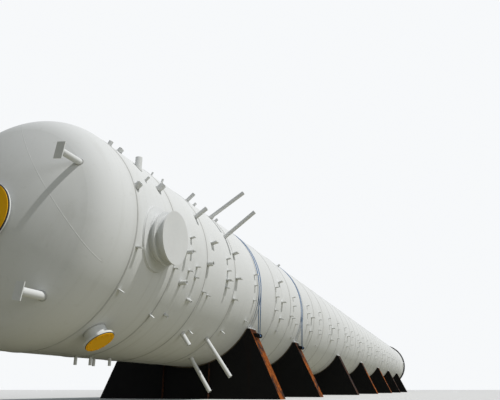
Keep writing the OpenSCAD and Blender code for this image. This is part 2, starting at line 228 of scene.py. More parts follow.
class Tree:
    """A node tree under construction"""

    def __init__(self, tree):
        self.tree = tree

    def node(self, kind, settings, inputs, output=0):
        """Adds a node with its settings and the values or links of its sockets, and gives one output"""
        node = self.tree.nodes.new(kind)
        for key, setting in settings.items():
            setattr(node, key, setting)
        for key, given in inputs.items():
            self.plug(node.inputs[key], given)
        return Value(self, node.outputs[output])

    def plug(self, socket, given):
        """Sets or links a socket"""
        if isinstance(given, Value):
            self.tree.links.new(given.socket, socket)
        else:
            socket.default_value = given

    def seen(self):
        """1 for what the camera sees straight, in a mirror or through glass, and 0 for light that fills in"""
        seen = 0.0
        for ray in ("Is Camera Ray", "Is Glossy Ray", "Is Transmission Ray"):
            path = self.node("ShaderNodeLightPath", {}, {}, ray)
            seen = self.node("ShaderNodeMath", {"operation": "MAXIMUM"}, {0: path, 1: seen})
        return seen


class Finish(Tree):
    """A material under construction, with the places on the object that its patterns use"""

    def __init__(self, name):
        self.material = bpy.data.materials.new(name)
        self.material.use_nodes = True
        super().__init__(self.material.node_tree)
        self.surface = self.tree.nodes["Principled BSDF"]
        self.place = self.node("ShaderNodeTexCoord", {}, {}, "Object")
        self.x, self.y, self.z = self.parts(self.place)
        self.clock = self.y.math("ARCTAN2", self.z - AXIS_Z)

    def noise(self, scale, detail=3.0, rough=0.55, at=None):
        """Cloudy numbers between 0 and 1"""
        return self.node("ShaderNodeTexNoise", {}, {
            "Vector": at or self.place, "Scale": scale, "Detail": detail, "Roughness": rough})

    def parts(self, vector):
        """The three numbers of a place or a direction"""
        return [self.node("ShaderNodeSeparateXYZ", {}, {0: vector}, i) for i in range(3)]

    def vector(self, x, y, z):
        """A place from three numbers"""
        return self.node("ShaderNodeCombineXYZ", {}, {0: x, 1: y, 2: z})

    def mix(self, share, first, second):
        """A colour between two colours"""
        return self.node("ShaderNodeMix", {"data_type": "RGBA"}, {
            0: share, 6: opaque(first), 7: opaque(second)}, 2)

    def coat(self, colour, roughness, specular=0.2):
        """Sets the colour, the roughness and how strongly the surface mirrors"""
        self.plug(self.surface.inputs["Base Color"], colour)
        self.plug(self.surface.inputs["Roughness"], roughness)
        self.plug(self.surface.inputs["Specular IOR Level"], specular)

    def bump(self, height, distance, strength=1.0):
        """Raises the surface by a height between 0 and 1"""
        self.plug(self.surface.inputs["Normal"], self.node("ShaderNodeBump", {}, {
            "Height": height, "Distance": distance, "Strength": strength}))


def opaque(colour):
    """A plain colour with its alpha, or a colour that varies as it is"""
    return colour if isinstance(colour, Value) else (*colour[:3], 1.0)


def shade(colour, factor):
    """A colour made darker or lighter by a factor"""
    return [min(1.0, v * factor) for v in colour]


def seam_distance(f):
    """How far a point of the shell is from the nearest round weld"""
    s = sizes()
    along = f.x - FIRST_SEAM
    short = along.math("PINGPONG", s.short_course / 2)
    after = (along - 2 * s.short_course).math("PINGPONG", s.long_course / 2)
    past_short = along.math("GREATER_THAN", 2 * s.short_course)
    return short * (1 - past_short) + after * past_short


def satin_paint():
    """Satin white coating, chalky, with run-off and dust, painted shade on the underside, and painted shade
    with grime at the toes of the welds
    """
    f = Finish("satin_paint")
    c = colours()
    cloud = f.noise(1.1, 4.0)
    patch = f.noise(7.0, 5.0, 0.62).band(0.55, 0.75)
    speckle = f.noise(55.0, 2.0).band(0.60, 0.78)
    runs = f.noise(1.0, 5.0, 0.6, f.vector(f.x * 46.0, f.clock * 0.9, 0.0)).band(0.50, 0.78)
    runs = runs * f.noise(2.3, 2.0).band(0.35, 0.75)
    # Painted shade on the underside: the grime colour mixed into the lower half of the shell
    below = f.clock.math("ABSOLUTE").band(1.5, 2.9)
    from_weld = seam_distance(f)
    # Painted shade along the edges of the round welds, with grime in patches
    toe_shade_and_soil = 1 - from_weld.band(0.0030, 0.0046)
    halo = 1 - from_weld.band(0.004, 0.030)
    # Run-off, dust, speckle and weld grime, with the painted shade of the underside
    dirt_and_underside_shade = runs * 0.26 + below * 0.08 + halo * cloud * 0.16 + patch * 0.10 + speckle * 0.07
    dirt_and_underside_shade = dirt_and_underside_shade.clamp()
    colour = f.mix(cloud.band(0.3, 0.7) * 0.5, c.paint, shade(c.paint, 0.95))
    colour = f.mix(dirt_and_underside_shade, colour, c.grime_and_shade)
    colour = f.mix(toe_shade_and_soil * (0.28 + runs * 0.2 + patch * 0.2 + cloud * 0.3), colour, shade(c.grime_and_shade, 0.8))
    f.coat(colour, 0.84 + cloud * 0.08 + dirt_and_underside_shade * 0.08, 0.06)
    f.bump(f.noise(7.0, 2.0) * 0.6 + f.noise(420.0, 2.0) * 0.03 + patch * 0.05, 0.0014, 0.35)
    return f.material


def brushed_paint():
    """The same coating brushed over pipes, clips and flanges, a little greyer in patches"""
    f = Finish("brushed_paint")
    c = colours()
    cloud = f.noise(9.0, 3.0)
    flecks = f.noise(160.0, 2.0).band(0.66, 0.80)
    brush = f.noise(1.0, 3.0, 0.5, f.vector(f.x * 60.0, f.y * 260.0, f.z * 90.0)).band(0.4, 0.7)
    colour = f.mix(cloud.band(0.35, 0.75) * 0.6 + brush * 0.15, c.paint, shade(c.paint, 0.92))
    colour = f.mix(flecks * 0.35, colour, c.grime_and_shade)
    f.coat(colour, 0.74 + cloud * 0.16, 0.08)
    f.bump(f.noise(300.0, 3.0) * 0.12 + cloud * 0.7 + brush * 0.08, 0.0004, 0.5)
    return f.material


def weld_paint():
    """Paint over weld ripples, darker than the coating as painted shade along the seams, with grime in
    patches and painted shade between the ripples
    """
    f = Finish("weld_paint")
    c = colours()
    ripple = (f.clock * 900.0).math("SINE") * 0.5 + 0.5
    cloud = f.noise(14.0, 3.0)
    # Grime in patches, and painted shade in the troughs between ripples
    grime_and_shade = (cloud.band(0.35, 0.8) * 0.35 + (1 - ripple) * 0.18).clamp()
    # The welds' paint is the coating darkened: painted shade along the seams
    f.coat(f.mix(grime_and_shade, shade(c.paint, 0.72), shade(c.grime_and_shade, 0.8)), 0.60 + cloud * 0.2)
    f.bump(ripple * 0.6 + f.noise(700.0) * 0.4, 0.0006, 0.8)
    return f.material


def yellow_paint():
    """Yellow covers, sun-faded in patches, with scuffs"""
    f = Finish("yellow_paint")
    c = colours()
    fade = f.noise(22.0, 4.0).band(0.35, 0.75)
    scuffs = f.noise(1.0, 4.0, 0.6, f.vector(f.x * 30.0, f.y * 160.0, f.z * 420.0)).band(0.62, 0.74)
    colour = f.mix(fade * 0.30, c.cover, shade(c.cover, 0.88))
    colour = f.mix(scuffs * 0.20, colour, (0.60, 0.36, 0.06))
    f.coat(colour, 0.66 + fade * 0.15, 0.1)
    f.bump(f.noise(90.0, 2.0) * 0.6 + scuffs * 0.4, 0.0006, 0.5)
    return f.material


def saddle_paint(name, rusty, streaks, worn=(0.0, 0.0)):
    """Dull black plates with rust in runs, and rust over the sloping side plates, more of it low down; their
    tops stay dark, partly for less rust and partly as painted shadow under the shell.
    rusty is how much of it shows, and all of it does between the two distances from the first seam in worn"""
    f = Finish(name)
    c = colours()
    _, ny, nz = f.parts(f.node("ShaderNodeNewGeometry", {}, {}, "Normal"))
    sloping = ny.math("ABSOLUTE").band(0.45, 0.75) * nz.band(-0.05, 0.12)
    along = f.x - FIRST_SEAM
    between = along.math("GREATER_THAN", worn[0]) * along.math("LESS_THAN", worn[1])
    rusty = rusty + between * (1 - rusty)
    runs = f.noise(1.0, 4.0, 0.65, f.vector(f.x * 40.0, f.y * 34.0, f.z * 2.2))
    cloud = f.noise(13.0, 5.0, 0.62)
    flakes = f.noise(48.0, 5.0, 0.7)
    web = (runs.band(0.55, 0.85) * 0.35 * streaks + cloud.band(0.66, 0.88) * 0.30 * streaks).clamp()
    # Less rust high up: the sloping plates' tops stay black, partly as painted shadow of the shell above
    low_rust_and_top_shadow = (0.30 - f.z).band(0.0, 0.10) * 0.65 + 0.35
    bright = (sloping * cloud.band(0.34, 0.54) * low_rust_and_top_shadow * rusty).clamp()
    colour = f.mix(web, c.black, shade(c.rust, 0.12))
    colour = f.mix(bright, colour, f.mix(flakes.band(0.38, 0.62), c.rust, shade(c.rust, 0.35)))
    f.coat(colour, 0.76 + cloud * 0.2, 0.1)
    f.bump(cloud * 0.5 + flakes * 0.3 + f.noise(210.0, 3.0) * 0.2, 0.0012, 0.6)
    return f.material


def primer():
    """Dark primer of the base ring, mottled, with rust that comes through"""
    f = Finish("primer")
    c = colours()
    cloud = f.noise(16.0, 4.0)
    colour = f.mix(cloud.band(0.3, 0.8), (0.035, 0.036, 0.038), (0.085, 0.083, 0.078))
    colour = f.mix(f.noise(90.0, 3.0).band(0.62, 0.78) * 0.6, colour, shade(c.rust, 0.5))
    f.coat(colour, 0.55 + cloud * 0.2)
    f.bump(f.noise(240.0, 3.0), 0.0006, 0.5)
    return f.material


def zinc():
    """Zinc-coated bolts and nuts with white bloom"""
    f = Finish("zinc")
    c = colours()
    spangle = f.noise(520.0, 3.0)
    f.coat(f.mix(spangle.band(0.4, 0.7), c.steel, shade(c.steel, 0.62)), 0.36 + spangle * 0.3, 0.5)
    f.plug(f.surface.inputs["Metallic"], 0.85 - spangle.band(0.5, 0.8) * 0.5)
    f.bump(spangle, 0.0003, 0.6)
    return f.material


def gasket_rubber():
    """Black sheet rubber, dusty in patches"""
    f = Finish("rubber")
    c = colours()
    dust = f.noise(120.0, 4.0).band(0.45, 0.75)
    f.coat(f.mix(dust * 0.5, c.rubber, (0.12, 0.115, 0.10)), 0.70 + dust * 0.2, 0.3)
    f.bump(f.noise(600.0, 2.0) * 0.6 + dust * 0.4, 0.0003, 0.6)
    return f.material


def timber():
    """Sawn planks with saw marks across the grain"""
    f = Finish("timber")
    c = colours()
    grain = f.noise(1.0, 6.0, 0.65, f.vector(f.x * 9.0, f.clock * 150.0, 0.0))
    saw = f.noise(1.0, 2.0, 0.5, f.vector(f.x * 600.0, f.clock * 4.0, 0.0))
    f.coat(f.mix(grain.band(0.3, 0.72), c.timber, shade(c.timber, 0.45)), 0.78 + grain * 0.15, 0.2)
    f.bump(grain * 0.6 + saw * 0.4, 0.0008, 0.7)
    return f.material


def webbing_cloth():
    """Woven webbing with ribs across and a lighter weft"""
    f = Finish("webbing")
    c = colours()
    ribs = (f.clock * 1500.0).math("SINE") * 0.5 + 0.5
    threads = (f.x * 5200.0).math("SINE") * 0.5 + 0.5
    weave = ribs * threads
    soil = f.noise(11.0, 4.0).band(0.4, 0.75)
    colour = f.mix(weave * 0.5, c.strap, shade(c.strap, 1.8))
    f.coat(f.mix(soil * 0.30, colour, (0.30, 0.31, 0.30)), 0.85, 0.2)
    f.plug(f.surface.inputs["Sheen Weight"], 0.3)
    f.bump(weave, 0.0005, 0.6)
    return f.material


# Each finish: what makes it, and the slot of the record that it belongs to
FINISHES = {
    "satin_paint": (satin_paint, "white_paint"),
    "brushed_paint": (brushed_paint, "white_paint"),
    "weld_paint": (weld_paint, "white_paint"),
    "yellow_paint": (yellow_paint, "cover_paint"),
    "rusty_saddle": (lambda: saddle_paint("rusty_saddle", rusty=1.0, streaks=0.5), "rusty_steel"),
    "black_saddle": (
        lambda: saddle_paint("black_saddle", rusty=0.14, streaks=0.3, worn=(4.2, 6.2)), "dark_steel"),
    "primer": (primer, "base_steel"),
    "zinc": (zinc, "base_steel"),
    "rubber": (gasket_rubber, "dark_steel"),
    "timber": (timber, "packing"),
    "webbing": (webbing_cloth, "strap"),
}

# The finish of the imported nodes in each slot, and how the names start of the white nodes that are brushed
NODE_FINISHES = {
    "white_paint": "satin_paint",
    "cover_paint": "yellow_paint",
    "rusty_steel": "rusty_saddle",
    "dark_steel": "black_saddle",
    "base_steel": "primer",
    "packing": "timber",
    "strap": "webbing",
}
FITTINGS = (
    "head_nozzles", "trunnion", "keeper", "side_nozzle", "long_pipes", "clips", "top_stubs", "bottom_nozzle",
    "access_sleeves", "overhead_nozzle")


def finish(name):
    """A finish by its name, made the first time that it is asked for"""
    return bpy.data.materials.get(name) or FINISHES[name][0]()


Island = namedtuple("Island", "points spread")


def islands(name):
    """The separate solids of a CAD node: the corner points of each, and how the normals of its faces
    spread, without those that lie on the shell"""
    mesh = frame["nodes"][name].data
    keys = {}
    spot = [keys.setdefault(tuple(round(c, 5) for c in v.co), len(keys)) for v in mesh.vertices]
    group = list(range(len(keys)))

    def root(i):
        while group[i] != i:
            group[i] = group[group[i]]
            i = group[i]
        return i

    for polygon in mesh.polygons:
        first = root(spot[polygon.vertices[0]])
        for vertex in polygon.vertices[1:]:
            group[root(spot[vertex])] = first
    found = {}
    for key, index in keys.items():
        found.setdefault(root(index), Island([], np.zeros((3, 3)))).points.append(Vector(key))
    for polygon in mesh.polygons:
        if max(off_axis(mesh.vertices[vertex].co) for vertex in polygon.vertices) > SHELL_R + WELD_RISE:
            normal = np.array(polygon.normal)
            spread = found[root(spot[polygon.vertices[0]])].spread
            spread += polygon.area * np.outer(normal, normal)
    return sorted(found.values(), key=lambda solid: (
        min(p.x for p in solid.points), min(p.y for p in solid.points)))


def mean(points):
    """The mean of some points"""
    return sum(points, Vector()) / len(points)


def box_middle(points):
    """The middle of the box round some points"""
    return Vector([(min(p[i] for p in points) + max(p[i] for p in points)) / 2 for i in range(3)])


def reach_x(points):
    """The least and the greatest distance along the column of some points"""
    along = [p.x for p in points]
    return min(along), max(along)


def half_x(points):
    """Half the length of some points along the column"""
    low, high = reach_x(points)
    return (high - low) / 2


def half_height(node):
    """Half the height of a CAD node"""
    low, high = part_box(node)
    return (high[2] - low[2]) / 2


def off_axis(point):
    """How far a point is from the column's axis"""
    return math.hypot(point.y, point.z - AXIS_Z)


def off_line(point, middle, axis):
    """How far a point is from the line through a middle along an axis"""
    way = point - middle
    return (way - axis * way.dot(axis)).length


def across(x, clock, r):
    """The point at a distance along the column, a clock angle from the top and a radius"""
    return Vector((x, r * math.sin(clock), AXIS_Z + r * math.cos(clock)))


def outward(point):
    """The shell's outward direction at a point"""
    return Vector((0, point.y, point.z - AXIS_Z)).normalized()


def laid(way, normal):
    """A direction laid flat on the surface that has a normal"""
    return (way - normal * way.dot(normal)).normalized()


def circle(middle, axis, radius, count):
    """Points of a circle and the directions from its middle to them"""
    u = axis.orthogonal().normalized()
    v = axis.cross(u)
    turns = (2 * math.pi * k / count for k in range(count))
    ways = [u * math.cos(turn) + v * math.sin(turn) for turn in turns]
    return [middle + way * radius for way in ways], ways


def skin(bm, rings, closed=False):
    """Joins rings of points into a closed skin, either round in a loop or with a face at each end"""
    for first, second in zip(rings, rings[1:] + rings[:1] if closed else rings[1:]):
        for k in range(len(first)):
            after = (k + 1) % len(first)
            bm.faces.new((first[k], first[after], second[after], second[k]))
    if not closed:
        bm.faces.new(rings[0][::-1])
        bm.faces.new(rings[-1])


def revolve(bm, middle, axis, profile, count, closed=False):
    """A solid of rings from its radii and heights along an axis, with flat ends or closed in a loop"""
    skin(bm, [[bm.verts.new(p) for p in circle(middle + axis * height, axis, radius, count)[0]]
              for radius, height in profile], closed)


def bead(bm, path, normals, width, height, closed):
    """Sweeps the low round cap of a weld along a path that lies on a surface"""
    count = len(path)
    rings = []
    for i, (point, normal) in enumerate(zip(path, normals)):
        ahead = path[(i + 1) % count] if closed or i + 1 < count else point
        behind = path[i - 1] if closed or i else point
        side = (ahead - behind).cross(normal).normalized()
        swell = 1.0 + 0.10 * math.sin(i * 2.4) * math.sin(i * 0.37)
        rings.append([bm.verts.new(point + side * (width * swell * a) + normal * (height * b))
                      for a, b in CAP_SECTION])
    skin(bm, rings, closed)


def fillet(bm, path, normals, leg, away, closed=True):
    """Sweeps the three-cornered section of a fillet weld. away gives, for each point, the direction along
    the surface that leaves the piece which is welded on"""
    rings = []
    for i, (point, normal, out) in enumerate(zip(path, normals, away)):
        size = leg * (1.0 + 0.12 * math.sin(i * 2.1))
        rings.append([bm.verts.new(point + out * (size * a) + normal * (size * b))
                      for a, b in FILLET_SECTION])
    skin(bm, rings, closed)


def ring_fillet(bm, middle, axis, radius, leg, count=96):
    """A fillet weld round a pipe on a flat plate, on the side that the axis points to"""
    points, ways = circle(middle, axis, radius, count)
    fillet(bm, points, [axis] * count, leg, ways)


def shell_fillet(bm, middle, axis, radius, leg, count, shell_r=SHELL_R):
    """A fillet weld round a pipe where it meets the shell, or a plate that lies on it out to a radius"""
    path, normals, away = [], [], []
    for side in circle(middle, axis, radius, count)[1]:
        p = middle + side * radius
        py, pz = p.y, p.z - AXIS_Z
        a, b = axis.y ** 2 + axis.z ** 2, 2 * (py * axis.y + pz * axis.z)
        inside = b * b - 4 * a * (py * py + pz * pz - shell_r * shell_r)
        if inside < 0:
            raise RuntimeError("a pipe's side misses the shell")
        point = p + axis * min(((sign * math.sqrt(inside) - b) / (2 * a) for sign in (-1, 1)), key=abs)
        normal = outward(point)
        path.append(point)
        normals.append(normal)
        away.append(laid(side, normal))
    fillet(bm, path, normals, leg, away)


def shell_bead(bm, path, width, height, closed):
    """A weld cap on the shell, from its shares of the width and height of a round weld"""
    s = sizes()
    bead(bm, path, [outward(p) for p in path], s.weld_width * width, s.weld_height * height, closed)


def round_weld(bm, x):
    """A weld cap all round the shell"""
    turns = (2 * math.pi * k / ROUND_POINTS for k in range(ROUND_POINTS))
    shell_bead(bm, [across(x, turn, SHELL_R) for turn in turns], width=1.0, height=1.0, closed=True)


def long_weld(bm, start, end, clock, steps):
    """A narrower weld cap along the shell, at a clock angle in degrees"""
    places = (start + (end - start) * k / steps for k in range(steps + 1))
    path = [across(x, math.radians(clock), SHELL_R) for x in places]
    shell_bead(bm, path, width=0.8, height=0.6, closed=False)


def bolt(bm, foot, axis, diameter, length):
    """A washer, a chamfered hex nut and the rounded end of its bolt, standing on a face"""
    corners = diameter * 1.7 / math.sqrt(3)
    washer = diameter * 0.18
    top = washer + diameter
    washer_profile = [(corners * 1.15, -0.0003), (corners * 1.15, washer * 0.8), (corners * 1.08, washer)]
    nut_profile = [(corners * 0.92, washer), (corners, washer + diameter * 0.12),
                   (corners, washer + diameter * 0.88), (corners * 0.90, top)]
    end_profile = [(diameter / 2, top - 0.0002), (diameter / 2, top + length * 0.7),
                   (diameter * 0.36, top + length)]
    for profile, count in ((washer_profile, 16), (nut_profile, 6), (end_profile, 10)):
        revolve(bm, foot, axis, profile, count)


def add_piece(name, bm, finish_name, smooth=True):
    """Turns a finished mesh into a piece that rides on the column"""
    bmesh.ops.recalc_face_normals(bm, faces=bm.faces)
    mesh = bpy.data.meshes.new(name)
    bm.to_mesh(mesh)
    bm.free()
    if smooth:
        mesh.shade_smooth()
    piece = bpy.data.objects.new(name, mesh)
    bpy.context.scene.collection.objects.link(piece)
    piece.data.materials.append(finish(finish_name))
    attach(piece, "root")
    return piece


def pipe_of(solid):
    """Middle of the outer end, outward direction and radius of a straight pipe"""
    axis = Vector(np.linalg.eigh(solid.spread)[1][:, 0])
    if axis.dot(outward(mean(solid.points))) < 0:
        axis.negate()
    top = max(p.dot(axis) for p in solid.points)
    rim = [p for p in solid.points if p.dot(axis) > top - 0.0012]
    end = mean(rim)
    return end, axis, max(off_line(p, end, axis) for p in rim)


def round_seams():
    """Distances of all round welds of the shell"""
    s = sizes()
    after = FIRST_SEAM + 2 * s.short_course
    short = [FIRST_SEAM, FIRST_SEAM + s.short_course]
    return short + [after + s.long_course * i for i in range(s.courses + 1)]


def head_reach(rho):
    """How far the dished head reaches past its straight flange at a distance from the axis"""
    knuckle_at = SHELL_R - KNUCKLE_R
    depth = CROWN_R - math.sqrt((CROWN_R - KNUCKLE_R) ** 2 - knuckle_at ** 2)
    if rho <= knuckle_at * CROWN_R / (CROWN_R - KNUCKLE_R):
        return math.sqrt(CROWN_R ** 2 - rho ** 2) - (CROWN_R - depth)
    return math.sqrt(max(0.0, KNUCKLE_R ** 2 - (rho - knuckle_at) ** 2))


def head_point(y, z):
    """A point of the top head's outside by its place across the column, with the outward direction"""
    rho = math.hypot(y, z)
    step = 0.0005
    low, high = max(rho - step, 0.0), min(rho + step, SHELL_R - 1e-6)
    slope = (head_reach(low) - head_reach(high)) / (high - low)
    normal = (TO_HEAD + Vector((0, y, z)) / max(rho, 1e-9) * slope).normalized()
    return Vector((FIRST_SEAM - sizes().head_flange - head_reach(rho), y, AXIS_Z + z)), normal


class COLUMN_OT_finishes(bpy.types.Operator):
    """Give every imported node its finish, and soften the edge of the light on its facets"""

    bl_idname = "column.finishes"
    bl_label = "Finishes"
    bl_options = {"REGISTER", "UNDO"}

    def execute(self, context):
        for part in frame["record"]["subparts"]:
            name, slot = part["node"], part["material_slot"]
            brushed = slot == "white_paint" and name.startswith(FITTINGS)
            node = frame["nodes"][name]
            node.data.materials.clear()
            node.data.materials.append(finish("brushed_paint" if brushed else NODE_FINISHES[slot]))
            node.cycles.shadow_terminator_offset = 0.2
        return {"FINISHED"}


class COLUMN_OT_seams(bpy.types.Operator):
    """Lay the weld caps of the round, long and head seams"""

    bl_idname = "column.seams"
    bl_label = "Seams"
    bl_options = {"REGISTER", "UNDO"}

    def execute(self, context):
        s = sizes()
        seams = round_seams()
        bm = bmesh.new()
        for x in seams:
            round_weld(bm, x)
        add_piece("round_welds", bm, "weld_paint")

        bm = bmesh.new()
        for i, (start, end) in enumerate(zip(seams, seams[1:])):
            for clock in LONG_WELD_CLOCKS[i % 2]:
                long_weld(bm, start, end, clock, steps=24)
        add_piece("long_welds", bm, "weld_paint")

        bm = bmesh.new()
        half = math.sqrt((SHELL_R * 0.965) ** 2 - s.head_seam ** 2)
        for side in (-1, 1):
            spots = [self.head_spot(side * s.head_seam, half * (k / 60 - 1)) for k in range(121)]
            bead(bm, *zip(*spots), s.weld_width * 0.45, s.weld_height * 0.11, closed=False)
        add_piece("head_welds", bm, "brushed_paint")
        return {"FINISHED"}

    @staticmethod
    def head_spot(off, along):
        """The point of the head and its normal, by a distance off the middle and one along the seams"""
        sine, cosine = math.sin(HEAD_SEAM_LEAN), math.cos(HEAD_SEAM_LEAN)
        return head_point(off * sine + along * cosine, off * cosine - along * sine)


class COLUMN_OT_fillets(bpy.types.Operator):
    """Weld the pipes, stubs, trunnions and clips to the shell and the head"""

    bl_idname = "column.fillets"
    bl_label = "Fillet welds"
    bl_options = {"REGISTER", "UNDO"}

    def execute(self, context):
        s = sizes()
        bm = bmesh.new()
        for solid in islands("long_pipes") + islands("top_stubs"):
            end, axis, radius = pipe_of(solid)
            shell_fillet(bm, end, axis, radius, min(s.fillet * 0.8, radius * 0.35), count=40)
        cover = box_middle(islands("side_nozzle_cover")[0].points)
        shell_fillet(bm, cover, outward(cover), s.side_neck / 2, s.fillet, count=64)
        add_piece("pipe_welds", bm, "weld_paint")

        bm = bmesh.new()
        for solid in islands("head_nozzles"):
            self.leg_welds(bm, solid.points, s.fillet)
        add_piece("head_pipe_welds", bm, "weld_paint")

        bm = bmesh.new()
        nodes = ("trunnion_pads", "trunnion_pipes", "trunnion_rings", "keeper_plates")
        pairs = [sorted(islands(node), key=lambda solid: solid.points[0].y) for node in nodes]
        for trunnion in zip(*pairs):
            self.trunnion_welds(bm, *(solid.points for solid in trunnion), s.fillet)
        add_piece("trunnion_welds", bm, "brushed_paint")

        bm = bmesh.new()
        for solid in islands("clips"):
            self.clip_weld(bm, solid.points, s.clip_fillet)
        add_piece("clip_welds", bm, "weld_paint")
        return {"FINISHED"}

    @staticmethod
    def leg_welds(bm, points, leg):
        """The welds of a pipe on the head, behind its end plate and at the head"""
        tip = min(p.x for p in points)
        middle = box_middle([p for p in points if p.x < tip + 0.0001])
        plate_back = sorted({round(p.x, 4) for p in points})[1]
        pipe = [p for p in points if p.x > plate_back + 0.001]
        radius = max(math.hypot(p.y - middle.y, p.z - middle.z) for p in pipe)
        ring_fillet(bm, Vector((plate_back, middle.y, middle.z)), TO_SKIRT, radius, leg * 0.6, count=40)
        foot, ways = circle(middle, TO_HEAD, radius, 48)
        path, normals = zip(*(head_point(p.y, p.z - AXIS_Z) for p in foot))
        fillet(bm, path, normals, leg * 0.8, [laid(way, normal) for way, normal in zip(ways, normals)])

    @staticmethod
    def trunnion_welds(bm, pad, pipe, ring, keeper, leg):
        """The welds of one trunnion: pad to shell, pipe to pad, and pipe to ring and keeper plate"""
        middle = mean(keeper)
        axis = outward(middle)
        ring_heights, keeper_heights = ([(p - middle).dot(axis) for p in solid] for solid in (ring, keeper))
        shell_fillet(bm, middle, axis, half_x(pad), leg * 0.8, count=120)
        shell_fillet(bm, middle, axis, half_x(pipe), leg, count=96, shell_r=max(off_axis(p) for p in pad))
        for height, way in ((min(ring_heights), -1), (max(ring_heights), 1), (min(keeper_heights), -1)):
            ring_fillet(bm, middle + axis * height, axis * way, half_x(pipe), leg * 0.6)

    @staticmethod
    def clip_weld(bm, points, leg):
        """The fillet round the foot of one clip"""
        base = [p for p in points if off_axis(p) < SHELL_R + 0.001]
        middle = mean(base)
        tangent = outward(middle).cross(TO_SKIRT)
        length, width = half_x(base), max(abs((p - middle).dot(tangent)) for p in base)
        corners = [(-1, -1), (0, -1), (1, -1), (1, 0), (1, 1), (0, 1), (-1, 1), (-1, 0)]
        path = [middle + Vector((a * length, 0, 0)) + tangent * (b * width) for a, b in corners]
        away = [(Vector((a, 0, 0)) + tangent * b).normalized() for a, b in corners]
        fillet(bm, path, [outward(p) for p in path], leg, away)


class COLUMN_OT_skirt(bpy.types.Operator):
    """Weld the skirt's plates, its access sleeves and its base ring"""

    bl_idname = "column.skirt"
    bl_label = "Skirt welds"
    bl_options = {"REGISTER", "UNDO"}

    def execute(self, context):
        s = sizes()
        skirt_from, skirt_to = (corner[0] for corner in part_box("skirt_top"))
        chairs_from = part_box("bolt_chairs")[0][0]
        bm = bmesh.new()
        for clock in (45, 135, 225, 315):
            long_weld(bm, skirt_from, chairs_from, clock, steps=60)
        round_weld(bm, skirt_from)
        for solid in islands("access_sleeves"):
            middle = box_middle(solid.points)
            shell_fillet(bm, middle, outward(middle), half_x(solid.points), s.fillet * 0.8, count=72)
        add_piece("skirt_welds", bm, "weld_paint")

        bm = bmesh.new()
        for x in (chairs_from, skirt_to):
            ring_fillet(bm, Vector((x, 0, AXIS_Z)), TO_HEAD, SHELL_R, s.fillet * 0.9, count=192)
        add_piece("base_welds", bm, "primer")
        return {"FINISHED"}


class COLUMN_OT_covers(bpy.types.Operator):
    """Fit the gasket, the sleeve and the bolts of the shipping covers"""

    bl_idname = "column.covers"
    bl_label = "Gaskets and bolts"
    bl_options = {"REGISTER", "UNDO"}

    def execute(self, context):
        s = sizes()
        cover = islands("side_nozzle_cover")[0].points
        middle = box_middle(cover)
        axis = outward(middle)
        cover_r = max(off_line(p, middle, axis) for p in cover)
        half = max((p - middle).dot(axis) for p in cover)
        joint = Vector((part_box("overhead_cover")[1][0], 0, AXIS_Z))
        sleeve = self.sleeve(half_height("overhead_cover"), half_height("overhead_nozzle"))

        bm = bmesh.new()
        revolve(bm, middle - axis * half, axis, self.sheet(cover_r, s.gasket), 128, closed=True)
        # A dark band over the rim of the overhead nozzle's flange, which keeps that rim from showing bright
        # in the key light
        revolve(bm, joint, TO_HEAD, sleeve, 128, closed=True)
        add_piece("gaskets", bm, "rubber")

        flange = islands("side_nozzle")[0].points
        flange_r = max(off_line(p, middle, axis) for p in flange)
        rim = [p for p in flange if off_line(p, middle, axis) > flange_r - 0.001]
        flange_back = min((p - middle).dot(axis) for p in rim)
        for name, height, way, length, paint in (
                ("cover_bolts", half - 0.0002, axis, 0.0008, "yellow_paint"),
                ("flange_nuts", flange_back, -axis, 0.0015, "zinc")):
            bm = bmesh.new()
            for point in circle(middle + axis * height, axis, cover_r - s.bolt_inset, s.side_bolts)[0]:
                bolt(bm, point, way, s.cover_bolt, length)
            add_piece(name, bm, paint, smooth=False)
        return {"FINISHED"}

    @staticmethod
    def sheet(cover_r, out):
        """Section of the flat gasket that stands out behind a cover: radii and heights"""
        lap, thick = 0.0006, 0.0016
        return [(cover_r - lap, 0.0), (cover_r + out * 0.7, 0.0), (cover_r + out, 0.0003),
                (cover_r + out, 0.0012), (cover_r + out * 0.5, thick), (cover_r - lap, thick)]

    @staticmethod
    def sleeve(cover_r, rim_r):
        """Section of the short sleeve from a cover's edge over the rim of its flange: radii and heights"""
        lap, thick = 0.0006, 0.0002
        return [(cover_r - lap, -thick), (cover_r - lap, 0.0014), (cover_r + lap, 0.0011),
                (rim_r - 0.0008, 0.0008), (rim_r + 0.0005, 0.0004), (rim_r + lap, -0.0006),
                (rim_r + 0.0005, -0.0016), (rim_r - thick, -0.0018), (rim_r - thick, -thick)]


